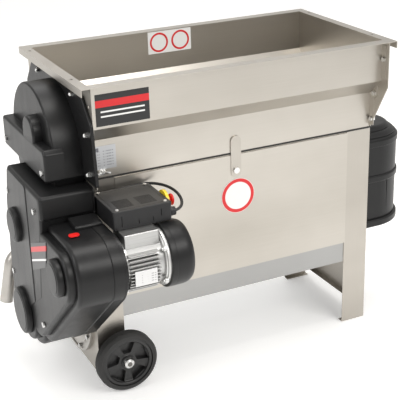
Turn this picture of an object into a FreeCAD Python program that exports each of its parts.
"""Grape crusher destemmer: hopper, rollers, destemming drum, must pump and drive, in millimetres.

Machine axes while modelling: x from the drive end plate's outer face towards the stem outlet,
y from the front edge of the hopper rim towards the rear, z up from the floor. Every piece is then
shifted by origin_x and origin_y, which puts the origin on the floor in the middle of the machine.
"""
import FreeCAD, Part
import math
import os
import re
import Sketcher

SIZES = [
    # overall
    ("origin_x", 471.75, "origin, measured from the drive end plate"),
    ("origin_y", 180.5, "origin, measured from the front rim"),
    ("hopper_length", 900.0, "outer face to outer face of the end plates"),
    ("hopper_width", 526.0, "front rim edge to rear rim edge"),
    ("rim_height", 912.0, "floor to hopper rim"),
    ("metal", 2.0, "stainless sheet thickness"),
    # hopper
    ("rim_flange", 32.0, "depth of the front and rear rim flanges"),
    ("end_flange", 25.0, "width of the end rim flanges"),
    ("end_lip", 20.0, "height of the lip under the end flanges"),
    ("upper_drop", 120.0, "rim to the upper fold of the hopper wall"),
    ("slant_drop", 46.0, "height of the slanted band"),
    ("hopper_base", 641.0, "floor to the bottom of the hopper"),
    ("end_knee", 133.0, "rim to the knee of the outlet end plate"),
    ("tab_depth", 20.0, "side tabs of the hopper walls"),
    ("rim_hole", 4.5, "radius of the holes in the end flanges"),
    ("rim_hole_first", 107.0, "front edge to the first flange hole"),
    ("rim_hole_pitch", 350.0, "distance between the flange holes"),
    ("inlet_start", 40.0, "start of the opening above the rollers"),
    ("inlet_length", 270.0, "length of the opening above the rollers"),
    ("inlet_width", 176.0, "width of the opening above the rollers"),
    # body and legs
    ("body_front", 83.0, "front rim to the front face of the legs"),
    ("leg_width", 82.0, "width of a leg face"),
    ("leg_top", 635.0, "floor to the top of the legs"),
    ("plate_base", 42.0, "floor to the bottom edge of the end plates"),
    ("foot_lip", 20.0, "depth of the foot lips"),
    ("cover_base", 277.0, "floor to the bottom of the body covers"),
    ("cover_top", 633.0, "floor to the top of the body covers"),
    ("apron_base", 212.0, "floor to the bottom of the visible trough wall"),
    ("apron_top", 290.0, "floor to the top of the trough wall"),
    ("trough_base", 143.0, "floor to the underside of the must trough"),
    ("trough_half", 48.0, "half width of the flat trough bottom"),
    # axes
    ("centre_y", 263.0, "front rim to the centre plane"),
    ("beater_z", 479.0, "height of the beater shaft"),
    ("auger_z", 211.0, "height of the must auger"),
    ("feed_z", 722.0, "height of the hopper auger"),
    ("roller_z", 602.0, "height of the crushing rollers"),
    ("roller_gap_half", 36.0, "half the distance between the roller axes"),
    ("motor_y", -89.0, "motor axis, from the front rim"),
    ("motor_z", 466.0, "motor axis height"),
    # destemming drum and beater
    ("drum", 105.0, "outer radius of the perforated drum"),
    ("drum_hole", 12.0, "radius of the drum perforations"),
    ("beater_shaft_radius", 15.0, "radius of the beater shaft"),
    ("paddle_reach", 90.0, "radius swept by the paddles"),
    ("paddle_count", 14, "number of paddles"),
    ("outlet_radius", 105.0, "radius of the stem opening"),
    # rollers and hopper auger
    ("roller", 32.0, "outer radius of the lobed rollers"),
    ("roller_core", 22.0, "radius between the lobes"),
    ("roller_shaft", 9.0, "radius of the roller journals"),
    ("feed_radius", 62.0, "radius of the hopper auger"),
    ("feed_shaft", 14.0, "radius of the hopper auger shaft"),
    # must auger and pump
    ("auger_radius", 56.0, "radius of the must auger"),
    ("auger_shaft", 14.0, "radius of the must auger shaft"),
    ("pump_radius", 150.0, "outer radius of the pump housing"),
    ("pump_depth", 60.0, "depth of the pump housing"),
    ("pump_flange_radius", 157.0, "radius of the pump flange"),
    ("pump_flange_depth", 10.0, "thickness of the pump flange"),
    ("pipe_radius", 20.0, "outer radius of the must outlet pipe"),
    ("pipe_bore", 17.5, "inner radius of the must outlet pipe"),
    # drive cover
    ("cover_wall", 3.5, "wall of the plastic covers"),
    ("cover_face", 150.0, "drive end plate to the outer face of the drive cover"),
    ("cover_step", 22.0, "height of the raised face of the drive cover"),
    ("cover_inset", 20.0, "inset of the raised face on the round parts"),
    ("cover_corner", 10.0, "corner radius of the drive cover"),
    ("bulge_radius", 90.0, "round part of the drive cover over the motor pulley"),
    ("lower_radius", 112.0, "round part of the drive cover over the auger"),
    ("skirt_depth", 34.0, "depth of the thicker skirt of the drive cover"),
    ("skirt_proud", 3.0, "height of the skirt above the cover wall"),
    ("block_front", 28.0, "front face of the cover's top block"),
    ("block_rear", 322.0, "rear edge of the cover's top block"),
    ("block_top", 637.0, "top of the cover's top block"),
    ("block_base", 569.0, "bottom of the cover's top block"),
    ("cap_rise", 19.0, "height of the push-in caps"),
    ("cap_small", 50.0, "radius of the beater and motor caps"),
    ("cap_large", 69.0, "radius of the auger cap"),
    ("cap_plug", 8.0, "cap edge to cap plug"),
    # upper gear cover
    ("gear_cover_face", 84.0, "drive end plate to the arched face"),
    ("gear_block_face", 113.0, "drive end plate to the raised block"),
    ("gear_cover_base", 653.0, "floor to the bottom of the upper cover"),
    ("gear_arch", 183.0, "radius of the arch"),
    ("gear_arch_z", 691.0, "height of the arch centre"),
    ("gear_block_top", 742.0, "floor to the shoulder of the raised block"),
    ("gear_flange", 8.0, "thickness of the flange of the upper cover"),
    # drive parts
    ("belt_plane", -105.0, "outer side of the belt"),
    ("belt_width", 26.0, "width of the belt"),
    ("belt_depth", 7.0, "thickness of the belt"),
    ("motor_pulley_radius", 28.0, "radius of the motor pulley under the belt"),
    ("beater_pulley_radius", 70.0, "radius of the beater pulley under the belt"),
    ("chain_plane", -66.0, "outer side of the auger chain"),
    ("chain_width", 10.0, "width of the chains"),
    ("chain_depth", 7.0, "height of the chain links"),
    ("small_sprocket", 28.0, "tip radius of the beater sprocket"),
    ("auger_sprocket_radius", 60.0, "tip radius of the must auger sprocket"),
    ("roller_plane", -24.0, "outer side of the roller chain"),
    ("roller_sprocket", 22.0, "tip radius of the two sprockets of the roller chain"),
    ("feed_plane", -78.0, "outer side of the hopper auger chain"),
    ("feed_small", 22.0, "tip radius of the feed sprocket on the front roller"),
    ("feed_large", 60.0, "tip radius of the hopper auger sprocket"),
    ("roller_gear_tip", 38.0, "tip radius of the roller gears"),
    ("roller_gear_root", 32.5, "root radius of the roller gears"),
    ("gear_plane", 10.0, "drive end plate to the roller gears, inside the machine"),
    ("gear_width", 20.0, "face width of the roller gears"),
    ("fit_gap", 0.05, "radial clearance of shafts in bearings"),
    ("ride_gap", 0.3, "clearance between belts, chains and their wheels"),
    # motor
    ("motor_back", 130.0, "drive end plate to the fan cover"),
    ("motor_end", 197.0, "drive end plate to the end of the motor"),
    ("stator_radius", 66.0, "radius of the stator body"),
    ("fin_reach", 78.0, "radius over the cooling fins"),
    ("fin_count", 36, "number of cooling fins"),
    ("bell_radius", 80.0, "radius of the motor end bell"),
    ("fan_cover_radius", 88.0, "radius of the fan cover"),
    ("motor_flange_radius", 84.0, "radius of the motor flange"),
    ("motor_shaft", 9.5, "radius of the motor shaft"),
    # control box
    ("box_start", 6.0, "start of the control box"),
    ("box_length", 162.0, "length of the control box"),
    ("box_front", -90.0, "front face of the control box"),
    ("box_depth", 152.0, "depth of the control box"),
    ("box_base", 557.0, "floor to the bottom of the control box"),
    ("box_top", 600.0, "floor to the joint of the lid"),
    ("lid_top", 609.0, "floor to the top of the lid"),
    ("cable_radius", 4.0, "radius of the link cable"),
    ("button_travel", 6.0, "travel of the stop button"),
    # wheels
    ("wheel_radius", 90.0, "outer radius of the tyres"),
    ("wheel_x", 70.0, "drive end plate to the axle"),
    ("wheel_face", 32.0, "front rim to the outer face of the front wheel"),
    ("tyre_width", 40.0, "width of the tyres"),
    ("rim_radius", 74.0, "radius under the tyres"),
    ("axle_radius", 8.0, "radius of the axle"),
    # stem chute
    ("chute_reach", 204.0, "outlet end plate to the end of the chute"),
    ("chute_half", 115.0, "half width of the chute"),
    ("chute_base", 285.0, "floor to the bottom of the chute"),
    ("chute_top", 596.0, "floor to the top of the chute"),
    ("chute_wall", 4.0, "wall of the chute"),
    ("chute_lip", 9.0, "height of the chute's ribs"),
    # fasteners
    ("bolt_shank", 4.0, "radius of the hexagon bolts"),
    ("bolt_head", 7.5, "radius of the bolt heads across corners"),
    ("bolt_head_depth", 5.0, "height of the bolt heads"),
    ("screw_head", 8.0, "radius of the cover screw heads"),
    ("screw_shank", 3.0, "radius of the cover screws"),
]

doc = FreeCAD.newDocument("grape_crusher_destemmer")
sheet = doc.addObject("Spreadsheet::Sheet", "dims")
for row, (alias, number, note) in enumerate(SIZES, start=1):
    sheet.set("A%d" % row, str(number))
    sheet.setAlias("A%d" % row, alias)
    sheet.set("B%d" % row, note)
doc.recompute()
ALIASES = {alias for alias, number, note in SIZES}
nodes = []


# ---------------------------------------------------------------- expressions

def bound(text):
    """The expression with every size name pointed at its cell of the sheet."""
    def cell(match):
        word = match.group(0)
        return "dims." + word if word in ALIASES else word
    return re.sub(r"[A-Za-z_][A-Za-z_0-9]*", cell, str(text))


def value(text):
    """The present number of an expression."""
    result = sheet.evalExpression(bound(text))
    return float(getattr(result, "Value", result))


def bind(thing, prop, text):
    """Tie a property to an expression on the sheet."""
    thing.setExpression(prop, bound(text))


def put(thing, x="0", y="0", z="0"):
    """Place a piece at a machine position, shifted to the part's own origin."""
    bind(thing, "Placement.Base.x", "(%s) - origin_x" % x)
    bind(thing, "Placement.Base.y", "(%s) - origin_y" % y)
    bind(thing, "Placement.Base.z", z)


def new_name(word):
    """A document name that isn't used yet."""
    index = len(doc.Objects)
    return "%s_%03d" % (word, index)


def node(thing, label):
    """Name a finished piece and put it on the list that is written out."""
    thing.Label = label
    nodes.append(thing)
    return thing


# ---------------------------------------------------------------- primitives and booleans

def box(x0, x1, y0, y1, z0, z1):
    """A block between two machine positions."""
    block = doc.addObject("Part::Box", new_name("box"))
    bind(block, "Length", "(%s) - (%s)" % (x1, x0))
    bind(block, "Width", "(%s) - (%s)" % (y1, y0))
    bind(block, "Height", "(%s) - (%s)" % (z1, z0))
    put(block, x0, y0, z0)
    return block


TURNS = {
    "x": FreeCAD.Rotation(FreeCAD.Vector(0, 1, 0), 90),
    "y": FreeCAD.Rotation(FreeCAD.Vector(1, 0, 0), -90),
    "z": FreeCAD.Rotation(),
}


def rod(axis, start, end, u, v, radius):
    """A cylinder along an axis; u and v are its place on the other two axes, in x, y, z order."""
    cylinder = doc.addObject("Part::Cylinder", new_name("rod"))
    bind(cylinder, "Radius", radius)
    bind(cylinder, "Height", "(%s) - (%s)" % (end, start))
    cylinder.Placement = FreeCAD.Placement(FreeCAD.Vector(), TURNS[axis])
    spot = {"x": (start, u, v), "y": (u, start, v), "z": (u, v, start)}[axis]
    put(cylinder, *spot)
    return cylinder


def hexagon(axis, start, end, u, v, radius):
    """A hexagonal prism along an axis."""
    prism = doc.addObject("Part::Prism", new_name("hexagon"))
    prism.Polygon = 6
    bind(prism, "Circumradius", radius)
    bind(prism, "Height", "(%s) - (%s)" % (end, start))
    prism.Placement = FreeCAD.Placement(FreeCAD.Vector(), TURNS[axis])
    spot = {"x": (start, u, v), "y": (u, start, v), "z": (u, v, start)}[axis]
    put(prism, *spot)
    return prism


def cut(base, *tools):
    """Base without the tools."""
    result = doc.addObject("Part::Cut", new_name("cut"))
    result.Base = base
    result.Tool = tools[0] if len(tools) == 1 else fuse(*tools)
    return result


def fuse(*things):
    """One solid of several."""
    if len(things) == 1:
        return things[0]
    result = doc.addObject("Part::MultiFuse", new_name("fuse"))
    result.Shapes = list(things)
    result.Refine = True
    return result


def common(*things):
    """What the things share."""
    result = doc.addObject("Part::MultiCommon", new_name("common"))
    result.Shapes = list(things)
    return result


def group(*things):
    """Separate solids in one node."""
    result = doc.addObject("Part::Compound", new_name("group"))
    result.Links = list(things)
    return result


def tube(axis, start, end, u, v, outer, inner):
    """A cylinder with a bore right through it."""
    return cut(rod(axis, start, end, u, v, outer), rod(axis, start, end, u, v, inner))


# ---------------------------------------------------------------- sketched pieces

PLANES = {"yz": "YZ_Plane", "xz": "XZ_Plane", "xy": "XY_Plane"}


def sketch_on(body, plane, offset):
    """An empty sketch on one of the body's origin planes, moved along the machine axis."""
    sketch = body.newObject("Sketcher::SketchObject", new_name("sketch"))
    for feature in body.Origin.OriginFeatures:
        if feature.Role == PLANES[plane]:
            sketch.AttachmentSupport = [(feature, "")]
    sketch.MapMode = "FlatFace"
    # the XZ plane looks towards -y, so its offset changes sign
    bind(sketch, "AttachmentOffset.Base.z", "-(%s)" % offset if plane == "xz" else offset)
    return sketch


def draw_outline(sketch, corners):
    """A closed outline of straight edges, each corner tied to the sheet."""
    spots = [FreeCAD.Vector(value(u), value(v), 0) for u, v in corners]
    count = len(spots)
    first = sketch.GeometryCount
    for index in range(count):
        sketch.addGeometry(Part.LineSegment(spots[index], spots[(index + 1) % count]))
    for index in range(count):
        after = first + (index + 1) % count
        sketch.addConstraint(Sketcher.Constraint("Coincident", first + index, 2, after, 1))
    for index, (u, v) in enumerate(corners):
        for kind, text, number in (("DistanceX", u, spots[index].x), ("DistanceY", v, spots[index].y)):
            place = sketch.addConstraint(Sketcher.Constraint(kind, -1, 1, first + index, 1, number))
            bind(sketch, "Constraints[%d]" % place, text)


def draw_circle(sketch, u, v, radius):
    """A circle whose centre and radius are tied to the sheet."""
    centre = FreeCAD.Vector(value(u), value(v), 0)
    index = sketch.GeometryCount
    sketch.addGeometry(Part.Circle(centre, FreeCAD.Vector(0, 0, 1), value(radius)))
    for kind, text, number in (("DistanceX", u, centre.x), ("DistanceY", v, centre.y)):
        place = sketch.addConstraint(Sketcher.Constraint(kind, -1, 1, index, 3, number))
        bind(sketch, "Constraints[%d]" % place, text)
    place = sketch.addConstraint(Sketcher.Constraint("Radius", index, value(radius)))
    bind(sketch, "Constraints[%d]" % place, radius)


def pad(plane, corners, start, end, circles=()):
    """A body: an outline with round holes, padded between two places on the machine axis."""
    body = doc.addObject("PartDesign::Body", new_name("body"))
    put(body)
    sketch = sketch_on(body, plane, start)
    if corners:
        draw_outline(sketch, corners)
    for circle in circles:
        draw_circle(sketch, *circle)
    feature = body.newObject("PartDesign::Pad", new_name("pad"))
    feature.Profile = sketch
    bind(feature, "Length", "(%s) - (%s)" % (end, start))
    feature.Reversed = plane == "xz"
    sketch.Visibility = False
    return body


def turned(axis, profile, u="0", v="0"):
    """A body turned about a machine axis; the profile gives (place along the axis, radius)."""
    body = doc.addObject("PartDesign::Body", new_name("turned"))
    spot = {"x": ("0", u, v), "y": (u, "0", v)}[axis]
    put(body, *spot)
    sketch = sketch_on(body, {"x": "xz", "y": "yz"}[axis], "0")
    draw_outline(sketch, profile)
    feature = body.newObject("PartDesign::Revolution", new_name("revolution"))
    feature.Profile = sketch
    feature.ReferenceAxis = (sketch, ["H_Axis"])
    feature.Angle = 360.0
    return body


def rounded(core, radius, start, end):
    """A core outline in y and z grown by a radius, so its corners are round, along x."""
    sketch = doc.addObject("Sketcher::SketchObject", new_name("core"))
    sketch.Placement = FreeCAD.Placement(FreeCAD.Vector(), FreeCAD.Rotation(90, 0, 90))
    put(sketch, start)
    draw_outline(sketch, core)
    face = doc.addObject("Part::Face", new_name("face"))
    face.Sources = [sketch]
    face.FaceMakerClass = "Part::FaceMakerBullseye"
    grown = doc.addObject("Part::Offset2D", new_name("grown"))
    grown.Source = face
    grown.Mode = "Skin"
    grown.Join = "Arc"
    grown.Fill = False
    bind(grown, "Value", radius)
    solid = doc.addObject("Part::Extrusion", new_name("extrusion"))
    solid.Base = grown
    solid.DirMode = "Custom"
    solid.Dir = FreeCAD.Vector(1, 0, 0)
    bind(solid, "LengthFwd", "(%s) - (%s)" % (end, start))
    solid.Solid = True
    return solid


def mirrored(corners):
    """An outline in y and z, seen in the machine's centre plane."""
    return [("2 * centre_y - (%s)" % u, v) for u, v in reversed(corners)]


def both_sides(corners):
    """A half outline from the front completed with its mirror image at the rear."""
    return corners + mirrored(corners)


# ---------------------------------------------------------------- hopper

def hopper_walls():
    """The folded front and rear walls: rim flange, upright, slanted band and lower upright."""
    rim = "rim_height"
    fold = "rim_height - upper_drop"
    knee = "rim_height - upper_drop - slant_drop"
    outer = [("0", rim), ("0", rim + " - metal"), ("rim_flange", rim + " - metal"),
             ("rim_flange", fold), ("body_front", knee), ("body_front", "hopper_base")]
    inner = [("body_front + metal", "hopper_base"), ("body_front + metal", knee + " + metal / 2"),
             ("rim_flange + metal", fold + " + metal / 2"), ("rim_flange + metal", rim)]
    # side tabs turned outwards, bolted to the end plates
    upper_tab = [("rim_flange - tab_depth", rim + " - 12"), ("rim_flange - tab_depth", fold + " + 12"),
                 ("rim_flange + 1", fold + " + 12"), ("rim_flange + 1", rim + " - 12")]
    lower_tab = [("body_front + 1", "hopper_base + 8"), ("body_front - tab_depth", "hopper_base + 8"),
                 ("body_front - tab_depth", knee + " - 16"), ("body_front - 34", knee + " - 2"),
                 ("body_front - 34", knee + " + 31"), ("body_front + 1", knee + " + 1")]
    for label, side in (("hopper_front_panel", list), ("hopper_rear_panel", mirrored)):
        pieces = [pad("yz", side(outer + inner), "metal", "hopper_length - metal")]
        drills = []
        for start, end in (("metal", "2 * metal"), ("hopper_length - 2 * metal", "hopper_length - metal")):
            pieces.append(pad("yz", side(upper_tab), start, end))
            pieces.append(pad("yz", side(lower_tab), start, end))
            for y, z in side(WALL_BOLTS):
                drills.append(rod("x", start + " - 1", end + " + 1", y, z, "bolt_shank + ride_gap"))
        node(cut(fuse(*pieces), *drills), label)


WALL_BOLTS = [("rim_flange - tab_depth / 2", "rim_height - 54"),
              ("body_front - 20", "rim_height - upper_drop - slant_drop + 2"),
              ("body_front - tab_depth / 2", "hopper_base + 26")]


def hopper_ends():
    """The two end plates with their rim flange and lip; the outlet plate tapers downwards."""
    drive = [("0", "hopper_base"), ("hopper_width", "hopper_base"),
             ("hopper_width", "rim_height"), ("0", "rim_height")]
    taper = [("0", "rim_height"), ("0", "rim_height - end_knee"), ("body_front - 3", "hopper_base")]
    for label, outline, side in (("hopper_end_drive", drive, -1), ("hopper_end_outlet", both_sides(taper), 1)):
        if side < 0:
            inner, outer, edge = "0", "metal", "-end_flange"
            flange = box(edge, inner, "0", "hopper_width", "rim_height - metal", "rim_height")
            lip = box(edge, edge + " + metal", "0", "hopper_width", "rim_height - end_lip", "rim_height")
            hole_x = "-end_flange / 2"
        else:
            inner, outer = "hopper_length - metal", "hopper_length"
            edge = "hopper_length + end_flange"
            flange = box(outer, edge, "0", "hopper_width", "rim_height - metal", "rim_height")
            lip = box(edge + " - metal", edge, "0", "hopper_width", "rim_height - end_lip", "rim_height")
            hole_x = "hopper_length + end_flange / 2"
        plate = pad("yz", outline, inner, outer, [("centre_y", "feed_z", "feed_shaft + 8 + ride_gap")])
        drills = []
        for y in ("rim_hole_first", "rim_hole_first + rim_hole_pitch"):
            drills.append(rod("z", "rim_height - 2 * metal", "rim_height + metal", hole_x, y, "rim_hole"))
        for y, z in WALL_BOLTS + mirrored(WALL_BOLTS):
            drills.append(rod("x", inner + " - 1", outer + " + 1", y, z, "bolt_shank + ride_gap"))
        node(cut(fuse(plate, flange, lip), *drills), label)


def hopper_floor():
    """The hopper floor with the opening above the rollers, carried on two side rails."""
    floor = box("metal", "hopper_length - metal", "body_front + 2 * metal",
                "2 * centre_y - body_front - 2 * metal", "hopper_base", "hopper_base + metal")
    rails = []
    for y in ("body_front + metal", "2 * centre_y - body_front - 2 * metal"):
        rails.append(box("metal", "hopper_length - metal", y, y + " + metal", "hopper_base - 40", "hopper_base"))
    ledges = []
    for y in ("body_front + metal", "2 * centre_y - body_front - 12"):
        ledges.append(box("metal", "hopper_length - metal", y, y + " + 12 - metal",
                          "hopper_base - metal", "hopper_base"))
    opening = box("inlet_start", "inlet_start + inlet_length", "centre_y - inlet_width / 2",
                  "centre_y + inlet_width / 2", "hopper_base - 5", "hopper_base + 5")
    node(cut(fuse(floor, *rails, *ledges), opening), "hopper_floor")


# ---------------------------------------------------------------- frame and covers

def end_frames():
    """Each end frame is one folded sheet: an end plate and its two leg faces."""
    rear = "2 * centre_y - body_front"
    plate_outline = [("body_front", "plate_base"), (rear, "plate_base"),
                     (rear, "leg_top"), ("body_front", "leg_top")]
    # drive end
    holes = [("centre_y", "beater_z", "beater_shaft_radius + 10 + ride_gap"),
             ("centre_y", "auger_z", "auger_shaft + 8 + ride_gap")]
    for sign in ("-", "+"):
        holes.append(("centre_y %s roller_gap_half" % sign, "roller_z", "roller_shaft + 6 + ride_gap"))
    plate = pad("yz", plate_outline, "0", "metal", holes)
    legs = []
    axle_holes = []
    for y in ("body_front", rear + " - metal"):
        legs.append(box("0", "leg_width", y, y + " + metal", "plate_base", "leg_top"))
        axle_holes.append(rod("y", y + " - 5", y + " + 5", "wheel_x", "wheel_radius", "axle_radius + fit_gap"))
    # the must outlet pipe leaves through the rear leg
    axle_holes.append(rod("y", rear + " - 10", rear + " + 10", "metal + pump_depth / 2",
                          "auger_z + pump_radius / 2 + 10", "pipe_radius + ride_gap"))
    node(cut(fuse(plate, *legs), *axle_holes), "drive_end_frame")
    # outlet end
    holes = [("centre_y", "beater_z", "outlet_radius - 3"),
             ("centre_y", "auger_z", "auger_shaft + 8 + ride_gap")]
    plate = pad("yz", plate_outline, "hopper_length - metal", "hopper_length", holes)
    shapes = [plate, box("hopper_length - foot_lip", "hopper_length", "body_front", rear,
                         "plate_base", "plate_base + metal")]
    for y, lip_y in (("body_front", "body_front"), (rear + " - metal", rear + " - foot_lip")):
        shapes.append(box("hopper_length - leg_width", "hopper_length", y, y + " + metal", "0", "leg_top"))
        shapes.append(box("hopper_length - leg_width", "hopper_length", lip_y, lip_y + " + foot_lip",
                          "0", "metal"))
    drills = []
    for y, z in CHUTE_BOLTS:
        drills.append(rod("x", "hopper_length - 5", "hopper_length + 5", y, z, "bolt_shank + ride_gap"))
    node(cut(fuse(*shapes), *drills), "outlet_end_frame")


def body_covers():
    """Front and rear covers of the body, lapped over the legs, with a folded top edge."""
    for label, side in (("front_cover", list), ("rear_cover", mirrored)):
        profile = [("body_front - metal", "cover_base"), ("body_front", "cover_base"),
                   ("body_front", "cover_top - metal"), ("body_front + metal", "cover_top - metal"),
                   ("body_front + metal", "cover_top"), ("body_front - metal", "cover_top")]
        cover = pad("yz", side(profile), "leg_width - metal", "hopper_length - leg_width + metal")
        # the top return only runs between the legs
        notches = []
        y0, y1 = ("body_front", "body_front + 2 * metal")
        if side is mirrored:
            y0, y1 = ("2 * centre_y - body_front - 2 * metal", "2 * centre_y - body_front")
        for x in ("leg_width - 2 * metal", "hopper_length - leg_width"):
            notches.append(box(x, x + " + 2 * metal", y0, y1, "cover_top - 3 * metal", "cover_top + metal"))
        notches.append(rod("y", y0 + " - 5", y1 + " + 5", "hopper_length / 2 - 4", "cover_top - 46",
                           "screw_shank + ride_gap"))
        node(cut(cover, *notches), label)


def must_trough():
    """The folded trough under the drum: two aprons and a narrow bottom around the auger."""
    inner = "body_front + 2 * metal"
    front = [("body_front + metal", "apron_top"), ("body_front + metal", "apron_base"),
             ("centre_y - trough_half - 22", "trough_base + 26"), ("centre_y - trough_half", "trough_base")]
    back = [("centre_y - trough_half", "trough_base + metal"),
            ("centre_y - trough_half - 22 + metal / 2", "trough_base + 26 + metal"),
            (inner, "apron_base + metal"), (inner, "apron_top")]
    outline = front + mirrored(front) + [("2 * centre_y - (%s)" % u, v) for u, v in reversed(back)] + back
    trough = pad("yz", outline, "metal + pump_depth", "hopper_length - metal")
    node(trough, "must_trough")


# ---------------------------------------------------------------- drum, beater and rollers

def destemming_screen():
    """The perforated drum; its top is open under the rollers."""
    start = "metal"
    end = "hopper_length - metal"
    shell = tube("x", start, end, "centre_y", "beater_z", "drum", "drum - metal")
    mouth = box("metal - 1", "inlet_start + inlet_length + 10", "centre_y - drum - 1", "centre_y + drum + 1",
                "beater_z + 38", "beater_z + drum + 1")
    drills = []
    rows = 9
    angles = 6
    for row in range(rows):
        for step in range(angles):
            drill = doc.addObject("Part::Cylinder", new_name("drill"))
            bind(drill, "Radius", "drum_hole")
            bind(drill, "Height", "2 * drum + 20")
            turn = 180.0 / angles * (step + (row % 2) / 2.0)
            swing = FreeCAD.Rotation(FreeCAD.Vector(1, 0, 0), turn)
            reach = swing.multVec(FreeCAD.Vector(0, 0, 1))
            drill.Placement = FreeCAD.Placement(FreeCAD.Vector(), swing)
            put(drill, "70 + %d * (hopper_length - 160) / %d" % (row, rows - 1),
                "centre_y - (drum + 10) * %.9f" % reach.y, "beater_z - (drum + 10) * %.9f" % reach.z)
            drills.append(drill)
    node(cut(shell, mouth, *drills), "destemming_screen")


def beater():
    """The beater shaft with its welded paddles, set in a helix."""
    shaft = rod("x", "belt_plane - 12", "hopper_length - metal - 8", "centre_y", "beater_z", "beater_shaft_radius")
    pieces = [shaft]
    count = int(value("paddle_count"))
    for index in range(count):
        arm = doc.addObject("Part::Box", new_name("arm"))
        bind(arm, "Length", "24")
        bind(arm, "Width", "6")
        bind(arm, "Height", "paddle_reach")
        swing = FreeCAD.Rotation(FreeCAD.Vector(1, 0, 0), 360.0 * index * 3 / count)
        shift = swing.multVec(FreeCAD.Vector(0, -3, 0))
        arm.Placement = FreeCAD.Placement(FreeCAD.Vector(), swing)
        put(arm, "90 + %d * (hopper_length - 200) / %d" % (index, count),
            "centre_y + %.9f" % shift.y, "beater_z + %.9f" % shift.z)
        pieces.append(arm)
    node(fuse(*pieces), "beater_shaft")


def bearings():
    """Flanged bearings on the drive end plate and one on the bridge at the stem outlet."""
    solids = []
    for y, z, shaft, seat in (("centre_y", "beater_z", "beater_shaft_radius", "10"),
                              ("centre_y", "auger_z", "auger_shaft", "8"),
                              ("centre_y - roller_gap_half", "roller_z", "roller_shaft", "6"),
                              ("centre_y + roller_gap_half", "roller_z", "roller_shaft", "6")):
        sleeve = rod("x", "-8", "metal", y, z, "%s + %s" % (shaft, seat))
        flange = rod("x", "metal", "metal + 5", y, z, "%s + %s + 7" % (shaft, seat))
        bore = rod("x", "-9", "metal + 6", y, z, "%s + fit_gap" % shaft)
        solids.append(cut(fuse(sleeve, flange), bore))
    for start, end, outer in (("-10", "metal", "-1"), ("hopper_length - metal", "hopper_length + 10", "1")):
        sleeve = rod("x", start, end, "centre_y", "feed_z", "feed_shaft + 8")
        inside = ("metal", "metal + 4") if outer == "-1" else ("hopper_length - metal - 4", "hopper_length - metal")
        flange = rod("x", inside[0], inside[1], "centre_y", "feed_z", "feed_shaft + 15")
        solids.append(cut(fuse(sleeve, flange), rod("x", start + " - 12", end + " + 12", "centre_y", "feed_z",
                                                    "feed_shaft + fit_gap")))
    sleeve = rod("x", "hopper_length - metal", "hopper_length + 8", "centre_y", "auger_z", "auger_shaft + 8")
    flange = rod("x", "hopper_length - metal - 5", "hopper_length - metal", "centre_y", "auger_z", "auger_shaft + 15")
    solids.append(cut(fuse(sleeve, flange), rod("x", "hopper_length - 20", "hopper_length + 20", "centre_y",
                                                "auger_z", "auger_shaft + fit_gap")))
    node(group(*solids), "shaft_bearings")
    # bridge across the stem opening
    bar = box("hopper_length - metal - 6", "hopper_length - metal", "centre_y - 12", "centre_y + 12",
              "beater_z - drum + metal + 1.2", "beater_z + drum - metal - 1.2")
    boss = rod("x", "hopper_length - metal - 20", "hopper_length - metal", "centre_y", "beater_z",
               "beater_shaft_radius + 8")
    bore = rod("x", "hopper_length - 40", "hopper_length + 10", "centre_y", "beater_z",
               "beater_shaft_radius + fit_gap")
    node(cut(fuse(bar, boss), bore), "bearing_bridge")


def lobed(y, z, turn, lobes=6):
    """A roller of rounded lobes between its journals."""
    core = rod("x", "inlet_start + 4", "inlet_start + inlet_length - 4", y, z, "roller_core")
    pieces = [core, rod("x", "-12", "inlet_start + inlet_length + 8", y, z, "roller_shaft")]
    for index in range(lobes):
        angle = math.radians(turn + 360.0 * index / lobes)
        pieces.append(rod("x", "inlet_start + 4", "inlet_start + inlet_length - 4",
                          "%s + (roller - 8) * %.9f" % (y, math.cos(angle)),
                          "%s + (roller - 8) * %.9f" % (z, math.sin(angle)), "8"))
    return fuse(*pieces)


# tip radius of both wheels of the roller chain, which clears the hub on the beater shaft
ROLLER_WHEEL = "max(roller_sprocket; beater_shaft_radius + 7)"


def rollers():
    """Two lobed rollers; the front one carries the two chain wheels of the drive."""
    y = "centre_y - roller_gap_half"
    shaft = rod("x", "feed_plane - 3", "gear_plane", y, "roller_z", "roller_shaft")
    wheels = [sprocket("feed_plane", y, "roller_z", "feed_small", "roller_shaft - 1", 11),
              sprocket("roller_plane", y, "roller_z", ROLLER_WHEEL, "roller_shaft - 1", 11)]
    node(fuse(lobed(y, "roller_z", 0.0), shaft, *wheels), "roller_front")
    node(lobed("centre_y + roller_gap_half", "roller_z", 30.0), "roller_rear")


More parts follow.
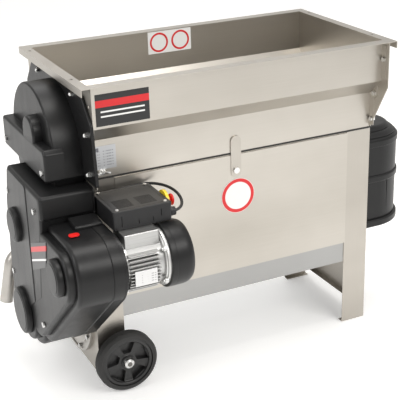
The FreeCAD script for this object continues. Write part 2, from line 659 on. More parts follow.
def toothed(plane, y, z, root, tip, shaft, teeth, thick, shape, hub):
    """A toothed wheel: a disc, one tooth repeated round its axis, and a hub towards the machine."""
    turn, wide, narrow = shape
    body = doc.addObject("PartDesign::Body", new_name("wheel"))
    put(body, "0", y, z)
    disc_sketch = sketch_on(body, "yz", plane)
    draw_circle(disc_sketch, "0", "0", root)
    draw_circle(disc_sketch, "0", "0", shaft + " + fit_gap")
    disc = body.newObject("PartDesign::Pad", new_name("disc"))
    disc.Profile = disc_sketch
    bind(disc, "Length", thick)
    tooth_sketch = sketch_on(body, "yz", plane)
    pitch = 2 * math.pi / teeth
    corners = []
    for radius, share in ((root + " - 1", -wide), (tip, -narrow), (tip, narrow), (root + " - 1", wide)):
        angle = math.radians(turn) + share * pitch
        corners.append(("(%s) * %.9f" % (radius, math.cos(angle)), "(%s) * %.9f" % (radius, math.sin(angle))))
    draw_outline(tooth_sketch, corners)
    tooth = body.newObject("PartDesign::Pad", new_name("tooth"))
    tooth.Profile = tooth_sketch
    bind(tooth, "Length", thick)
    pattern = body.newObject("PartDesign::PolarPattern", new_name("teeth"))
    pattern.Originals = [tooth]
    pattern.Axis = (tooth_sketch, ["N_Axis"])
    pattern.Angle = 360.0
    pattern.Occurrences = teeth
    body.Tip = pattern
    hub_sketch = sketch_on(body, "yz", plane)
    draw_circle(hub_sketch, "0", "0", shaft + " + 6")
    draw_circle(hub_sketch, "0", "0", shaft + " + fit_gap")
    boss = body.newObject("PartDesign::Pad", new_name("hub"))
    boss.Profile = hub_sketch
    bind(boss, "Length", hub)
    body.Tip = boss
    return body


def roller_gears():
    """The meshing pair that turns the rollers towards each other."""
    for label, sign, turn in (("roller_gear_front", "-", 0.0), ("roller_gear_rear", "+", 10.0)):
        node(toothed("gear_plane", "centre_y %s roller_gap_half" % sign, "roller_z", "roller_gear_root",
                     "roller_gear_tip", "roller_shaft", 18, "gear_width", (turn, 0.27, 0.13),
                     "gear_width + 6"), label)


def flight(label, z, shaft, radius, start, end, shaft_start, shaft_end, pitch):
    """A screw conveyor: a shaft with a thin helical flight welded around it."""
    length = value(end) - value(start)
    turns = length / pitch
    inner = value(shaft) - 1.0
    outer = value(radius)
    path = Part.makeHelix(pitch, length, (inner + outer) / 2)
    thin = 3.0
    profile = Part.makePolygon([
        FreeCAD.Vector(inner, 0, -thin / 2), FreeCAD.Vector(outer, 0, -thin / 2),
        FreeCAD.Vector(outer, 0, thin / 2), FreeCAD.Vector(inner, 0, thin / 2),
        FreeCAD.Vector(inner, 0, -thin / 2)])
    blade = Part.Wire(path).makePipeShell([profile], True, True)
    blade.rotate(FreeCAD.Vector(), FreeCAD.Vector(0, 1, 0), 90)
    blade.translate(FreeCAD.Vector(value(start), 0, 0))
    spindle = Part.makeCylinder(value(shaft), value(shaft_end) - value(shaft_start),
                                FreeCAD.Vector(value(shaft_start), 0, 0), FreeCAD.Vector(1, 0, 0))
    screw = doc.addObject("Part::Feature", new_name("screw"))
    screw.Shape = spindle.fuse(blade)
    screw.Placement = FreeCAD.Placement(
        FreeCAD.Vector(-value("origin_x"), value("centre_y - origin_y"), value(z)), FreeCAD.Rotation())
    put(screw, "0", "centre_y", z)
    node(screw, label)


# ---------------------------------------------------------------- must pump

def pump():
    """The round pump housing on the drive end plate, with its flange, impeller and outlet."""
    start = "metal"
    end = "metal + pump_depth"
    outer = rod("x", start, end, "centre_y", "auger_z", "pump_radius")
    room = rod("x", "metal + 3", "metal + pump_depth - 3", "centre_y", "auger_z", "pump_radius - 3")
    passage = rod("x", "metal + pump_depth - 4", "metal + pump_depth + 1", "centre_y", "auger_z", "auger_radius + 4")
    front_hole = rod("x", "metal - 1", "metal + 4", "centre_y", "auger_z", "auger_shaft + 16")
    port = rod("y", "centre_y + 60", "centre_y + pump_radius + 1", "metal + pump_depth / 2",
               "auger_z + pump_radius / 2 + 10", "pipe_radius + fit_gap")
    node(cut(outer, room, passage, front_hole, port), "pump_housing")
    ring = rod("x", "-pump_flange_depth", "0", "centre_y", "auger_z", "pump_flange_radius")
    centre = rod("x", "-pump_flange_depth - 1", "1", "centre_y", "auger_z", "auger_shaft + 16")
    recess = tube("x", "-pump_flange_depth - 1", "-pump_flange_depth + 3", "centre_y", "auger_z",
                  "pump_flange_radius - 8", "pump_flange_radius - 24")
    drills = [rod("x", "-pump_flange_depth - 1", "1", y, z, "bolt_shank + ride_gap") for y, z in PUMP_BOLTS]
    node(cut(ring, centre, recess, *drills), "pump_flange")
    # impeller: a hub keyed to the auger shaft with six flexible vanes
    hub = rod("x", "metal + 8", "metal + pump_depth - 6", "centre_y", "auger_z", "auger_shaft + 12")
    vanes = [hub]
    for index in range(6):
        vane = doc.addObject("Part::Box", new_name("vane"))
        bind(vane, "Length", "pump_depth - 14")
        bind(vane, "Width", "8")
        bind(vane, "Height", "pump_radius - 25")
        swing = FreeCAD.Rotation(FreeCAD.Vector(1, 0, 0), 60.0 * index)
        shift = swing.multVec(FreeCAD.Vector(0, -4, 0))
        vane.Placement = FreeCAD.Placement(FreeCAD.Vector(), swing)
        put(vane, "metal + 8", "centre_y + %.9f" % shift.y, "auger_z + %.9f" % shift.z)
        vanes.append(vane)
    bore = rod("x", "0", "metal + pump_depth", "centre_y", "auger_z", "auger_shaft + fit_gap")
    node(cut(fuse(*vanes), bore), "pump_impeller")


def must_outlet():
    """The must outlet: a pipe out of the pump's rear that turns towards the drive end and down."""
    pump_x = value("metal + pump_depth / 2")
    height = value("auger_z + pump_radius / 2 + 10")
    rear = value("2 * centre_y - body_front") + 45
    points = [FreeCAD.Vector(pump_x, value("centre_y + pump_radius - 40"), height),
              FreeCAD.Vector(pump_x, rear, height),
              FreeCAD.Vector(-118, rear, height - 14),
              FreeCAD.Vector(-150, rear, value("auger_z") - 76)]
    bend = 42.0
    edges = []
    last = points[0]
    for index in range(1, len(points) - 1):
        before = (points[index - 1] - points[index]).normalize()
        after = (points[index + 1] - points[index]).normalize()
        half = before.getAngle(after) / 2
        trim = bend / math.tan(half)
        start = points[index] + before * trim
        end = points[index] + after * trim
        centre = points[index] + (before + after).normalize() * (bend / math.sin(half))
        middle = centre + (points[index] - centre).normalize() * bend
        edges.append(Part.LineSegment(last, start).toShape())
        edges.append(Part.Arc(start, middle, end).toShape())
        last = end
    edges.append(Part.LineSegment(last, points[-1]).toShape())
    spine = Part.Wire(edges)
    rings = []
    for radius in (value("pipe_radius"), value("pipe_bore")):
        circle = Part.Wire([Part.makeCircle(radius, points[0], FreeCAD.Vector(0, 1, 0))])
        rings.append(spine.makePipeShell([circle], True, False))
    pipe = doc.addObject("Part::Feature", new_name("pipe"))
    pipe.Shape = rings[0].cut(rings[1])
    put(pipe)
    node(pipe, "must_outlet_pipe")


# ---------------------------------------------------------------- drive covers

MAIN_CORE = [("block_front + cover_corner + 6", "block_base"),
             ("block_front + cover_corner + 6", "block_top - cover_corner - 2"),
             ("block_rear - cover_corner - 4", "block_top - cover_corner - 2"),
             ("351 - cover_corner", "beater_z + 42"),
             ("368 - cover_corner", "auger_z + 114"),
             ("centre_y + lower_radius - cover_corner - 4", "auger_z - 6"),
             ("centre_y", "auger_z"),
             ("92", "330")]
BLOCK_CORE = [("block_front + cover_corner", "block_base + cover_corner"),
              ("block_front + cover_corner", "block_top - cover_corner"),
              ("block_rear - cover_corner", "block_top - cover_corner"),
              ("block_rear - cover_corner", "block_base + cover_corner")]
BULGE_CORE = [("motor_y", "motor_z"), ("motor_y", "motor_z - 4"), ("153", "252"), ("153", "motor_z")]
LOWER_CORE = [("centre_y - 4", "auger_z"), ("centre_y", "auger_z + 4"), ("centre_y + 4", "auger_z")]
BODY_PARTS = [(MAIN_CORE, "cover_corner", "0"), (BLOCK_CORE, "cover_corner", "0"),
              (BULGE_CORE, "bulge_radius", "cover_inset"), (LOWER_CORE, "lower_radius - 4", "cover_inset")]


def cover_layers(shrink):
    """The stepped body of the drive cover, its outline shrunk by a wall thickness."""
    face = "-cover_face + %s" % shrink
    shoulder = "-cover_face + cover_step + %s" % shrink
    layers = []
    for core, radius, inset in BODY_PARTS:
        layers.append(rounded(core, "%s - %s" % (radius, shrink), shoulder, "-4"))
        layers.append(rounded(core, "%s - %s - %s" % (radius, inset, shrink), face, shoulder + " + 1"))
    return layers


CAPS = [("cap_beater", "centre_y", "beater_z", "cap_small"),
        ("cap_motor", "motor_y", "motor_z", "cap_small"),
        ("cap_auger", "centre_y", "auger_z", "cap_large")]
DRIVE_SCREWS = [("78", "584"), ("82", "248"), ("322", "560"), ("345", "300")]


def drive_cover():
    """The lower drive cover: a moulded shell over the belt, the chain and the roller gears."""
    skirt = []
    for core, radius, inset in BODY_PARTS:
        skirt.append(rounded(core, "%s + skirt_proud" % radius, "-skirt_depth", "-4"))
    outer = fuse(*cover_layers("0"), *skirt)
    inner = fuse(*cover_layers("cover_wall"))
    back = box("-4.5", "20", "-300", "600", "0", "800")
    seat = rod("x", "-pump_flange_depth - ride_gap", "5", "centre_y", "auger_z", "pump_flange_radius + 1")
    cuts = [inner, back, seat]
    for label, y, z, radius in CAPS:
        cuts.append(rod("x", "-cover_face - 5", "-cover_face + 12", y, z, radius + " - cap_plug"))
    for y, z in DRIVE_SCREWS:
        cuts.append(rod("x", "-cover_face - 5", "-cover_face + 12", y, z, "screw_shank + ride_gap"))
    # slot in the top for the chain to the hopper auger
    cuts.append(box("feed_plane - 6", "feed_plane + chain_width + 6",
                    "centre_y - roller_gap_half - feed_small - 15", "centre_y + 44",
                    "block_top - 20", "block_top + 5"))
    node(cut(outer, *cuts), "drive_cover")
    # push-in caps over the ends of the three shafts
    for label, y, z, radius in CAPS:
        disc = turned("x", [("-cover_face - cap_rise", "0"), ("-cover_face - cap_rise", radius + " - 4"),
                            ("-cover_face - cap_rise + 4", radius), ("-cover_face", radius),
                            ("-cover_face", radius + " - cap_plug - ride_gap"),
                            ("-cover_face + cover_wall + 6", radius + " - cap_plug - ride_gap"),
                            ("-cover_face + cover_wall + 6", radius + " - cap_plug - 4"),
                            ("-cover_face - cap_rise + 4", radius + " - cap_plug - 4"),
                            ("-cover_face - cap_rise + 4", "0")], y, z)
        node(disc, label)


def drive_back_plate():
    """The plate behind the drive cover, which also carries the motor."""
    layers = [rounded(core, "%s + skirt_proud" % radius, "-4", "0") for core, radius, inset in BODY_PARTS]
    seat = rod("x", "-5", "1", "centre_y", "auger_z", "pump_flange_radius + 1")
    holes = [rod("x", "-5", "1", "motor_y", "motor_z", "motor_shaft + 16"),
             rod("x", "-5", "1", "centre_y", "beater_z", "beater_shaft_radius + 12")]
    for sign in ("-", "+"):
        holes.append(rod("x", "-5", "1", "centre_y %s roller_gap_half" % sign, "roller_z", "roller_shaft + 8"))
    for y, z in MOTOR_BOLTS:
        holes.append(rod("x", "-5", "1", y, z, "bolt_shank + ride_gap"))
    holes.append(rod("x", "-5", "1", SWITCH_GLAND[0], SWITCH_GLAND[1], "6.5"))
    node(cut(fuse(*layers), seat, *holes), "drive_back_plate")


GEAR_FLANGE = [("54", "rim_height - 35"), ("-2", "rim_height - 98"), ("-17", "gear_cover_base")]
GEAR_FLANGE_BOLTS = [("122", "rim_height - 43"), ("30", "rim_height - 129"), ("30", "rim_height - 237")]
GEAR_SCREWS = [("99", "677"), ("2 * centre_y - 99", "677")]


def gear_cover_layers(shrink):
    """The arch, the raised block and the small arched bump of the upper cover."""
    base = "gear_cover_base + %s" % shrink
    radius = "gear_arch - %s" % shrink
    face = "-gear_cover_face + %s" % shrink
    block_face = "-gear_block_face + %s" % shrink
    low = [("centre_y - (%s)" % radius, base), ("centre_y + (%s)" % radius, base),
           ("centre_y + (%s)" % radius, "gear_arch_z"), ("centre_y - (%s)" % radius, "gear_arch_z")]
    block = [("74 + %s" % shrink, base), ("2 * centre_y - 74 - %s" % shrink, base),
             ("2 * centre_y - 74 - %s" % shrink, "gear_block_top - %s - 9" % shrink),
             ("2 * centre_y - 83 - %s" % shrink, "gear_block_top - %s" % shrink),
             ("83 + %s" % shrink, "gear_block_top - %s" % shrink),
             ("74 + %s" % shrink, "gear_block_top - %s - 9" % shrink)]
    arch = rod("x", face, "-gear_flange + 1", "centre_y", "gear_arch_z", radius)
    upper = box(face, "-gear_flange + 1", "centre_y - (%s)" % radius, "centre_y + (%s)" % radius,
                "gear_arch_z", "rim_height")
    return [common(arch, upper), pad("yz", low, face, "-gear_flange + 1"),
            pad("yz", block, block_face, face + " + 1"),
            rod("x", block_face, face + " + 1", "205", "gear_block_top + 16", "46 - %s" % shrink)]


def upper_gear_cover():
    """The arched cover over the hopper auger's sprocket, with its bolted flange."""
    flange = pad("yz", both_sides([(u, v) for u, v in GEAR_FLANGE]), "-gear_flange", "0")
    outer = fuse(flange, *gear_cover_layers("0"))
    inner = gear_cover_layers("cover_wall")
    back = rod("x", "-gear_flange - 2", "2", "centre_y", "gear_arch_z", "gear_arch - cover_wall")
    back_top = box("-gear_flange - 2", "2", "0", "hopper_width", "gear_cover_base + cover_wall", "rim_height")
    cuts = inner + [common(back, back_top)]
    for y, z in GEAR_FLANGE_BOLTS:
        for place in (y, "2 * centre_y - (%s)" % y):
            cuts.append(rod("x", "-gear_flange - 1", "1", place, z, "bolt_shank + ride_gap"))
    for y, z in GEAR_SCREWS:
        cuts.append(rod("x", "-gear_block_face - 1", "-gear_block_face + 9", y, z, "screw_shank + ride_gap"))
    # the chain comes up through the bottom
    cuts.append(box("feed_plane - 6", "feed_plane + chain_width + 6",
                    "centre_y - roller_gap_half - feed_small - 15", "centre_y + 44",
                    "gear_cover_base - 5", "gear_cover_base + 10"))
    node(cut(outer, *cuts), "upper_gear_cover")


# ---------------------------------------------------------------- belt, chains and their wheels

def loop_wire(y1, z1, r1, y2, z2, r2):
    """The closed line around two circles, open belt, in the plane x = 0."""
    gap_y = y2 - y1
    gap_z = z2 - z1
    distance = math.hypot(gap_y, gap_z)
    along = math.atan2(gap_z, gap_y)
    swing = math.acos((r1 - r2) / distance)
    spots = []
    for y, z, radius, angle in ((y1, z1, r1, along + swing), (y1, z1, r1, along + math.pi),
                                (y1, z1, r1, along - swing), (y2, z2, r2, along - swing),
                                (y2, z2, r2, along), (y2, z2, r2, along + swing)):
        spots.append(FreeCAD.Vector(0, y + radius * math.cos(angle), z + radius * math.sin(angle)))
    return Part.Wire([Part.Arc(spots[0], spots[1], spots[2]).toShape(),
                      Part.LineSegment(spots[2], spots[3]).toShape(),
                      Part.Arc(spots[3], spots[4], spots[5]).toShape(),
                      Part.LineSegment(spots[5], spots[0]).toShape()])


def loop(plane, width, depth, y1, z1, r1, y2, z2, r2):
    """A belt or chain around two wheels, riding just clear of them."""
    numbers = [value(text) for text in (y1, z1, r1, y2, z2, r2)]
    clear = value("ride_gap")
    wires = []
    for extra in (clear + value(depth), clear):
        wires.append(loop_wire(numbers[0], numbers[1], numbers[2] + extra,
                               numbers[3], numbers[4], numbers[5] + extra))
    face = Part.Face(wires[0]).cut(Part.Face(wires[1]))
    band = face.extrude(FreeCAD.Vector(value(width), 0, 0))
    item = doc.addObject("Part::Feature", new_name("loop"))
    item.Shape = band.Solids[0]
    put(item, plane)
    return item


def transmission():
    """The belt from the motor to the beater, the chain to the must auger and the hopper chain."""
    node(loop("belt_plane", "belt_width", "belt_depth", "motor_y", "motor_z", "motor_pulley_radius",
              "centre_y", "beater_z", "beater_pulley_radius"), "drive_belt")
    for label, y, z, radius, shaft in (
            ("motor_pulley", "motor_y", "motor_z", "motor_pulley_radius", "motor_shaft"),
            ("beater_pulley", "centre_y", "beater_z", "beater_pulley_radius", "beater_shaft_radius")):
        rim = radius + " + belt_depth - 1"
        wheel = turned("x", [("belt_plane - 6", shaft + " + fit_gap"), ("belt_plane - 6", rim),
                             ("belt_plane - 1", rim), ("belt_plane - 1", radius),
                             ("belt_plane + belt_width + 1", radius), ("belt_plane + belt_width + 1", rim),
                             ("belt_plane + belt_width + 6", rim),
                             ("belt_plane + belt_width + 6", shaft + " + fit_gap")], y, z)
        node(wheel, label)
    chains = [loop("chain_plane", "chain_width", "chain_depth", "centre_y", "beater_z", "small_sprocket",
                   "centre_y", "auger_z", "auger_sprocket_radius"),
              loop("roller_plane", "chain_width", "chain_depth", "centre_y", "beater_z", ROLLER_WHEEL,
                   "centre_y - roller_gap_half", "roller_z", ROLLER_WHEEL)]
    node(group(*chains), "drive_chains")
    node(group(sprocket("chain_plane", "centre_y", "beater_z", "small_sprocket", "beater_shaft_radius", 13),
               sprocket("roller_plane", "centre_y", "beater_z", ROLLER_WHEEL, "beater_shaft_radius", 11)),
         "beater_sprockets")
    node(sprocket("chain_plane", "centre_y", "auger_z", "auger_sprocket_radius", "auger_shaft", 28),
         "auger_sprocket")
    node(loop("feed_plane", "chain_width", "chain_depth", "centre_y - roller_gap_half", "roller_z",
              "feed_small", "centre_y", "feed_z", "feed_large"), "feed_chain")
    node(sprocket("feed_plane", "centre_y", "feed_z", "feed_large", "feed_shaft", 30), "feed_sprocket")


def sprocket(plane, y, z, tip, shaft, teeth):
    """A chain wheel with short pointed teeth."""
    return toothed(plane + " + 3", y, z, tip + " - 5", tip, shaft, teeth, "chain_width - 6",
                   (0.0, 0.3, 0.08), "11")


# ---------------------------------------------------------------- motor

def motor():
    """The drive motor: flange, finned stator, end bell, fan cover, rotor and fan."""
    bore = rod("x", "-10", "motor_end", "motor_y", "motor_z", "motor_shaft + 8")
    flange = rod("x", "0", "8", "motor_y", "motor_z", "motor_flange_radius")
    drills = [rod("x", "-1", "9", y, z, "bolt_shank + ride_gap") for y, z in MOTOR_BOLTS]
    node(cut(flange, *drills, rod("x", "-1", "9", "motor_y", "motor_z", "motor_shaft + fit_gap")), "motor_flange")
    body = rod("x", "8", "motor_back - 14", "motor_y", "motor_z", "stator_radius")
    fins = []
    count = int(value("fin_count"))
    for index in range(count):
        fin = doc.addObject("Part::Box", new_name("fin"))
        bind(fin, "Length", "motor_back - 14 - 8 - 12")
        bind(fin, "Width", "2.4")
        bind(fin, "Height", "fin_reach - stator_radius + 4")
        turn = 360.0 * index / count
        swing = FreeCAD.Rotation(FreeCAD.Vector(1, 0, 0), turn)
        side = swing.multVec(FreeCAD.Vector(0, -1.2, 0))
        reach = swing.multVec(FreeCAD.Vector(0, 0, 1))
        fin.Placement = FreeCAD.Placement(FreeCAD.Vector(), swing)
        put(fin, "17", "motor_y + %.9f + (stator_radius - 4) * %.9f" % (side.y, reach.y),
            "motor_z + %.9f + (stator_radius - 4) * %.9f" % (side.z, reach.z))
        fins.append(fin)
    neck = box("17", "motor_back - 17", "motor_y - 40", "motor_y + 40", "motor_z", "box_base")
    node(cut(fuse(body, neck, *fins), bore), "motor_stator")
    bell = turned("x", [("motor_back - 14", "motor_shaft + fit_gap"), ("motor_back - 14", "bell_radius - 6"),
                        ("motor_back - 10", "bell_radius"), ("motor_back - 2", "bell_radius"),
                        ("motor_back + 4", "bell_radius - 10"), ("motor_back + 4", "motor_shaft + fit_gap")],
                  "motor_y", "motor_z")
    node(bell, "motor_end_bell")
    cowl = turned("x", [("motor_back - 2", "bell_radius + ride_gap"), ("motor_back - 2", "fan_cover_radius"),
                        ("motor_end - 12", "fan_cover_radius"), ("motor_end", "fan_cover_radius - 12"),
                        ("motor_end", "10"), ("motor_end - 2.5", "10"),
                        ("motor_end - 2.5", "fan_cover_radius - 13"),
                        ("motor_end - 12.5", "fan_cover_radius - 3"),
                        ("motor_back + 1", "fan_cover_radius - 3"), ("motor_back + 1", "bell_radius + ride_gap")],
                  "motor_y", "motor_z")
    slots = []
    for ring, count in (("26", 8), ("42", 14), ("58", 20)):
        for index in range(count):
            angle = 2 * math.pi * index / count
            slots.append(rod("x", "motor_end - 5", "motor_end + 1", "motor_y + %s * %.9f" % (ring, math.cos(angle)),
                             "motor_z + %s * %.9f" % (ring, math.sin(angle)), "5"))
    node(cut(cowl, *slots), "motor_fan_cover")
    shaft = rod("x", "belt_plane - 10", "motor_end - 22", "motor_y", "motor_z", "motor_shaft")
    core = rod("x", "16", "motor_back - 22", "motor_y", "motor_z", "motor_shaft + 7")
    node(fuse(shaft, core), "motor_rotor")
    hub = rod("x", "motor_back + 12", "motor_end - 20", "motor_y", "motor_z", "motor_shaft + 10")
    blades = [hub]
    for index in range(8):
        blade = doc.addObject("Part::Box", new_name("blade"))
        bind(blade, "Length", "motor_end - motor_back - 36")
        bind(blade, "Width", "3")
        bind(blade, "Height", "fan_cover_radius - 14")
        swing = FreeCAD.Rotation(FreeCAD.Vector(1, 0, 0), 45.0 * index)
        shift = swing.multVec(FreeCAD.Vector(0, -1.5, 0))
        blade.Placement = FreeCAD.Placement(FreeCAD.Vector(), swing)
        put(blade, "motor_back + 14", "motor_y + %.9f" % shift.y, "motor_z + %.9f" % shift.z)
        blades.append(blade)
    node(cut(fuse(*blades), rod("x", "0", "motor_end", "motor_y", "motor_z", "motor_shaft + fit_gap")), "motor_fan")


MOTOR_BOLTS = []
for quarter in (45, 135, 225, 315):
    lean = math.radians(quarter)
    MOTOR_BOLTS.append(("motor_y + (motor_flange_radius - 9) * %.9f" % math.cos(lean),
                        "motor_z + (motor_flange_radius - 9) * %.9f" % math.sin(lean)))
PUMP_BOLTS = []
for bearing in (-150, -110, -70, -30, 75, 120):
    lean = math.radians(bearing)
    PUMP_BOLTS.append(("centre_y + (pump_flange_radius - 16) * %.9f" % math.cos(lean),
                       "auger_z + (pump_flange_radius - 16) * %.9f" % math.sin(lean)))
CHUTE_BOLTS = [("centre_y - chute_half - 10", "beater_z + 70"), ("centre_y - chute_half - 10", "chute_base + 35"),
               ("centre_y + chute_half + 10", "beater_z + 70"), ("centre_y + chute_half + 10", "chute_base + 35")]


def control_box():
    """The box on the motor, its lid, the cable glands and the stop switch."""
    x0 = "box_start"
    x1 = "box_start + box_length"
    y0 = "box_front"
    y1 = "box_front + box_depth"
    wall = "3"
    shell = box(x0, x1, y0, y1, "box_base", "box_top")
    room = box(x0 + " + " + wall, x1 + " - " + wall, y0 + " + " + wall, y1 + " - " + wall,
               "box_base + 3", "box_top + 1")
    gland_z = "box_base + 18"
    hole = rod("x", x1 + " - 5", x1 + " + 5", "box_front + 14", gland_z, "6.5")
    node(cut(shell, room, hole), "control_box")
    lid = box(x0 + " - 1", x1 + " + 1", y0 + " - 1", y1 + " + 1", "box_top", "lid_top")
    under = box(x0 + " + 4", x1 + " - 4", y0 + " + 4", y1 + " - 4", "box_top - 1", "lid_top - 3")
    drills = [rod("z", "box_top - 1", "lid_top + 1", x, y, "screw_shank + ride_gap") for x, y in LID_SCREWS]
    node(cut(lid, under, *drills), "control_box_lid")
    solids = []
    for face, u, v, size in ((x1, "box_front + 14", gland_z, "13.5"), ("0", SWITCH_GLAND[0], SWITCH_GLAND[1], "10")):
        neck = rod("x", face + " - 3", face, u, v, "6.2")
        nut = hexagon("x", face, face + " + 7", u, v, size)
        dome = rod("x", face + " + 7", face + " + 14", u, v, size + " - 2")
        bore = rod("x", face + " - 4", face + " + 15", u, v, "cable_radius + ride_gap")
        solids.append(cut(fuse(neck, nut, dome), bore))
    node(group(*solids), "cable_glands")
    # the stop switch: a round base that stands above the lid, and its button
    switch = ("box_front + 60", "box_base + 31")
    base = rod("x", x1, x1 + " + 9", switch[0], switch[1], "30")
    collar = rod("x", x1 + " + 9", x1 + " + 13", switch[0], switch[1], "13")
    bore = rod("x", x1 + " + 2", x1 + " + 14", switch[0], switch[1], "6 + fit_gap")
    room = rod("x", x1 + " - 1", x1 + " + 3", switch[0], switch[1], "12")
    notch = box(x1 + " - 1", x1 + " + 1.3", "box_front + 20", "box_front + 100", "box_top - 0.3", "box_top + 30")
    node(cut(fuse(base, collar), bore, room, notch), "switch_base")
    stem = rod("x", x1 + " + 2.5 + button_travel", x1 + " + 16 + button_travel", switch[0], switch[1], "6")
    head = rod("x", x1 + " + 14 + button_travel", x1 + " + 24 + button_travel", switch[0], switch[1], "16")
    node(fuse(stem, head), "stop_button")


LID_SCREWS = [("box_start + 14", "box_front + 9"), ("box_start + box_length - 14", "box_front + 9"),
              ("box_start + 14", "box_front + box_depth - 9"),
              ("box_start + box_length - 14", "box_front + box_depth - 9")]

# gland of the cover switch cable in the drive back plate, y and z
SWITCH_GLAND = ("74", "599.3")

# route of the cable from the control box to the cover switch, x y z in machine millimetres
CABLE_ROUTE = [(172.0, -76.0, 575.0), (186.0, -76.0, 575.2), (201.5, -69.0, 576.5), (214.0, -54.5, 580.0),
               (221.0, -34.5, 586.0), (222.5, -11.0, 592.5), (218.0, 13.0, 598.0), (207.0, 36.0, 602.0),
               (191.0, 56.0, 604.0), (170.0, 70.0, 604.5), (143.0, 74.5, 603.5), (111.0, 75.5, 602.0),
               (76.0, 75.0, 600.4), (42.0, 74.2, 599.5), (9.0, 74.0, 599.3)]


def link_cable():
    """A tube of straight runs joined by arcs as large as the runs allow."""
    spots = [FreeCAD.Vector(*spot) for spot in CABLE_ROUTE]
    edges = []
    last = spots[0]
    radii = []
    for index in range(1, len(spots) - 1):
        before = spots[index - 1] - spots[index]
        after = spots[index + 1] - spots[index]
        shorter = min(before.Length, after.Length)
        before.normalize()
        after.normalize()
        half_turn = (math.pi - before.getAngle(after)) / 2
        radius = 0.45 * shorter / math.tan(half_turn)
        radii.append(round(radius, 1))
        trim = 0.45 * shorter
        start = spots[index] + before * trim
        end = spots[index] + after * trim
        centre = spots[index] + (before + after).normalize() * (radius / math.cos(half_turn))
        middle = centre + (spots[index] - centre).normalize() * radius
        edges.append(Part.LineSegment(last, start).toShape())
        edges.append(Part.Arc(start, middle, end).toShape())
        last = end
    edges.append(Part.LineSegment(last, spots[-1]).toShape())
    spine = Part.Wire(edges)
    circle = Part.Wire([Part.makeCircle(value("cable_radius"), spots[0], spots[1] - spots[0])])
    cable = doc.addObject("Part::Feature", new_name("cable"))
    cable.Shape = spine.makePipeShell([circle], True, False)
    put(cable)
    node(cable, "link_cable")
    section = math.pi * value("cable_radius") ** 2
    print("link cable: length %.1f, radii %s, volume ratio %.5f"
          % (spine.Length, radii, cable.Shape.Volume / (section * spine.Length)))


# ---------------------------------------------------------------- stem chute

def stem_chute():
    """The moulded chute that turns the stems downwards, with its ribs and mounting flange."""
    def hood(grow, base, top, start):
        half = "chute_half + %s" % grow
        reach = "hopper_length + chute_reach - chute_half"
        straight = box(start, reach, "centre_y - (%s)" % half, "centre_y + (%s)" % half, base, top)
        nose = rod("z", base, top, reach, "centre_y", half)
        return fuse(straight, nose)
    plate_face = "hopper_length + 5"
    body = hood("0", "chute_base", "chute_top - 30", "hopper_length")
    crown = hood("-24", "chute_top - 31", "chute_top - 8", "hopper_length")
    tip = hood("-40", "chute_top - 9", "chute_top", "hopper_length")
    shoulder = hood("-8", "chute_top - 31", "chute_top - 18", "hopper_length")
    lip = hood("chute_lip", "chute_base - 12", "chute_base + 14", "hopper_length")
    band = hood("5", "chute_base + 138", "chute_base + 162", "hopper_length")
    flange = box("hopper_length", plate_face, "centre_y - chute_half - 20", "centre_y + chute_half + 20",
                 "chute_base + 10", "chute_top - 30")
    outer = fuse(body, shoulder, crown, tip, lip, band, flange)
    room = hood("-chute_wall", "chute_base - 20", "chute_top - 34", "hopper_length - 2")
    upper_room = hood("-30", "chute_top - 35", "chute_top - 12", "hopper_length - 2")
    behind = box("hopper_length - 200", "hopper_length", "centre_y - 2 * chute_half",
                 "centre_y + 2 * chute_half", "chute_base - 50", "chute_top + 50")
    cuts = [room, upper_room, behind]
    for y, z in CHUTE_BOLTS:
        cuts.append(rod("x", "hopper_length - 1", plate_face + " + 1", y, z, "bolt_shank + ride_gap"))
    node(cut(outer, *cuts), "stem_chute")


# ---------------------------------------------------------------- wheels

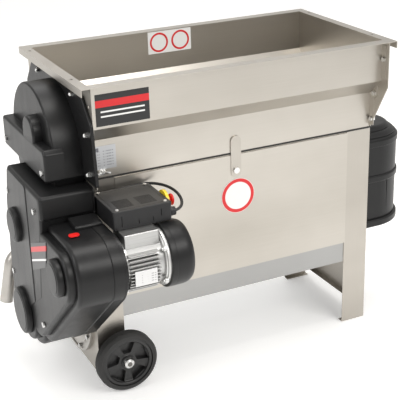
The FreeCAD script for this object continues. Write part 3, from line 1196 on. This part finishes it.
def wheels():
    """Two wheels on a fixed axle under the drive end, held by push-on caps."""
    rear_face = "2 * centre_y - wheel_face"
    node(rod("y", "wheel_face - 8", rear_face + " + 8", "wheel_x", "wheel_radius", "axle_radius"), "wheel_axle")
    caps = []
    for name, inner_y, direction in (("front", "wheel_face", 1), ("rear", rear_face, -1)):
        def along(distance):
            return "%s %s (%s)" % (inner_y, "+" if direction > 0 else "-", distance)
        hub = "axle_radius + 12"
        profile = [(along("2"), "axle_radius + fit_gap"), (along("2"), hub), (along("8"), hub),
                   (along("12"), "rim_radius - 10"), (along("3"), "rim_radius - 6"),
                   (along("3"), "rim_radius"), (along("tyre_width - 3"), "rim_radius"),
                   (along("tyre_width - 3"), "rim_radius - 6"), (along("22"), "rim_radius - 10"),
                   (along("26"), hub), (along("tyre_width + 4"), hub),
                   (along("tyre_width + 4"), "axle_radius + fit_gap")]
        wheel = turned("y", profile, "wheel_x", "wheel_radius")
        windows = []
        for index in range(5):
            middle = math.radians(90 + 72 * index)
            wedge = []
            for reach, share in (("axle_radius + 20", -0.11), ("rim_radius - 16", -0.26),
                                 ("rim_radius - 16", 0.26), ("axle_radius + 20", 0.11)):
                angle = middle + share
                wedge.append(("wheel_x + (%s) * %.9f" % (reach, math.cos(angle)),
                              "wheel_radius + (%s) * %.9f" % (reach, math.sin(angle))))
            low, high = (inner_y, along("tyre_width")) if direction > 0 else (along("tyre_width"), inner_y)
            windows.append(pad("xz", wedge, low, high))
        node(cut(wheel, *windows), "wheel_rim_" + name)
        tread = [(along("0"), "rim_radius + ride_gap"), (along("0"), "wheel_radius - 6"),
                 (along("5"), "wheel_radius"), (along("tyre_width - 5"), "wheel_radius"),
                 (along("tyre_width"), "wheel_radius - 6"), (along("tyre_width"), "rim_radius + ride_gap")]
        node(turned("y", tread, "wheel_x", "wheel_radius"), "tyre_" + name)
        caps.append(turned("y", [(along("-9"), "0"), (along("-9"), "9"), (along("-6"), "14"), (along("1.7"), "17"),
                                 (along("1.7"), "axle_radius + fit_gap"), (along("-8.3"), "axle_radius + fit_gap"),
                                 (along("-8.3"), "0")], "wheel_x", "wheel_radius"))
    node(group(*caps), "axle_caps")


# ---------------------------------------------------------------- clamps and fasteners

def clamps():
    """The strap clamps that hold the hopper to the body covers."""
    straps = []
    for y0, y1 in (("body_front - 2 * metal", "body_front"),
                   ("2 * centre_y - body_front", "2 * centre_y - body_front + 2 * metal")):
        middle = "hopper_length / 2 - 4"
        front = y0 == "body_front - 2 * metal"
        strap = box(middle + " - 16", middle + " + 16", y0, y1, "cover_top - 52", "cover_top + 40")
        ends = [rod("y", y0, y1, middle, "cover_top - 52", "16"), rod("y", y0, y1, middle, "cover_top + 40", "16")]
        seat = ("body_front - metal", "body_front + 1") if front else \
            ("2 * centre_y - body_front - 1", "2 * centre_y - body_front + metal")
        room = box(middle + " - 20", middle + " + 20", seat[0], seat[1], "cover_top - 80", "cover_top")
        hole = rod("y", y0 + " - 1", y1 + " + 1", middle, "cover_top - 46", "screw_shank + ride_gap")
        straps.append(cut(fuse(strap, *ends), room, hole))
    node(group(*straps), "strap_clamps")


def hex_bolt(face, direction, y, z, grip):
    """A bolt along x with its head standing on a face."""
    if direction > 0:
        head = hexagon("x", face, face + " + bolt_head_depth", y, z, "bolt_head")
        shank = rod("x", "%s - (%s)" % (face, grip), face + " + 1", y, z, "bolt_shank")
    else:
        head = hexagon("x", face + " - bolt_head_depth", face, y, z, "bolt_head")
        shank = rod("x", face + " - 1", "%s + (%s)" % (face, grip), y, z, "bolt_shank")
    return fuse(head, shank)


def fasteners():
    """Hexagon bolts of the hopper, the chute, the covers and the motor, and the round-head screws."""
    bolts = []
    for y, z in WALL_BOLTS + mirrored(WALL_BOLTS):
        bolts.append(hex_bolt("hopper_length - 2 * metal", -1, y, z, "2 * metal + 6"))
        nut = hexagon("x", "hopper_length", "hopper_length + 5", y, z, "bolt_head")
        bolts.append(cut(nut, rod("x", "hopper_length - 1", "hopper_length + 6", y, z, "bolt_shank + fit_gap")))
    for y, z in WALL_BOLTS[1:] + mirrored(WALL_BOLTS[1:]):
        bolts.append(hex_bolt("2 * metal", 1, y, z, "2 * metal - fit_gap"))
    for y, z in GEAR_FLANGE_BOLTS:
        for place in (y, "2 * centre_y - (%s)" % y):
            bolts.append(hex_bolt("-gear_flange", -1, place, z, "gear_flange - ride_gap"))
    for y, z in CHUTE_BOLTS:
        bolts.append(hex_bolt("hopper_length + 5", 1, y, z, "5 + metal"))
    for y, z in MOTOR_BOLTS:
        bolts.append(hex_bolt("8", 1, y, z, "12"))
    for y, z in PUMP_BOLTS:
        bolts.append(hex_bolt("-pump_flange_depth", -1, y, z, "pump_flange_depth - ride_gap"))
    node(group(*bolts), "hex_bolts")
    screws = []
    for faces, places in (("-cover_face", DRIVE_SCREWS), ("-gear_block_face", GEAR_SCREWS)):
        for y, z in places:
            head = rod("x", faces + " - 5", faces, y, z, "screw_head")
            shank = rod("x", faces + " - 1", faces + " + 10", y, z, "screw_shank")
            screws.append(fuse(head, shank))
    for x, y in LID_SCREWS:
        screws.append(fuse(rod("z", "lid_top", "lid_top + 2.5", x, y, "4.5"),
                           rod("z", "lid_top - 8", "lid_top + 1", x, y, "screw_shank")))
    middle = "hopper_length / 2 - 4"
    for face, sign in (("body_front - 2 * metal", "-"), ("2 * centre_y - body_front + 2 * metal", "+")):
        tip = "%s %s 5" % (face, sign)
        low, high = (tip, face) if sign == "-" else (face, tip)
        inner = "%s %s 3.9" % (face, "+" if sign == "-" else "-")
        inside = (face, inner) if sign == "-" else (inner, face)
        screws.append(fuse(rod("y", low, high, middle, "cover_top - 46", "screw_head + 1"),
                           rod("y", inside[0], inside[1], middle, "cover_top - 46", "screw_shank")))
    node(group(*screws), "cover_screws")


# ---------------------------------------------------------------- build

def build():
    hopper_walls()
    hopper_ends()
    hopper_floor()
    end_frames()
    body_covers()
    must_trough()
    destemming_screen()
    beater()
    bearings()
    rollers()
    roller_gears()
    flight("feed_auger", "feed_z", "feed_shaft", "feed_radius", "30", "hopper_length - 20",
           "feed_plane - 6", "hopper_length + 12", 140.0)
    flight("must_auger", "auger_z", "auger_shaft", "auger_radius", "metal + pump_depth + 12",
           "hopper_length - 30", "chain_plane - 8", "hopper_length + 10", 110.0)
    pump()
    must_outlet()
    drive_cover()
    drive_back_plate()
    upper_gear_cover()
    transmission()
    motor()
    control_box()
    link_cable()
    stem_chute()
    wheels()
    clamps()
    fasteners()
    doc.recompute()


def check():
    """Stop before anything is written if an object failed or a piece isn't a sound solid."""
    for thing in doc.Objects:
        if "Invalid" in thing.State or "Error" in thing.State:
            raise RuntimeError("failed: %s %s" % (thing.Name, thing.Label))
    for item in nodes:
        shape = item.Shape
        if shape.isNull() or not shape.isValid() or not shape.Solids:
            raise RuntimeError("unsound: " + item.Label)


build()
check()
os.makedirs("parts", exist_ok=True)
for item in nodes:
    item.Shape.exportStep("parts/" + item.Label + ".step")
    print("%-22s %2d solids, volume %12.1f" % (item.Label, len(item.Shape.Solids), item.Shape.Volume))
print(len(nodes), "nodes")
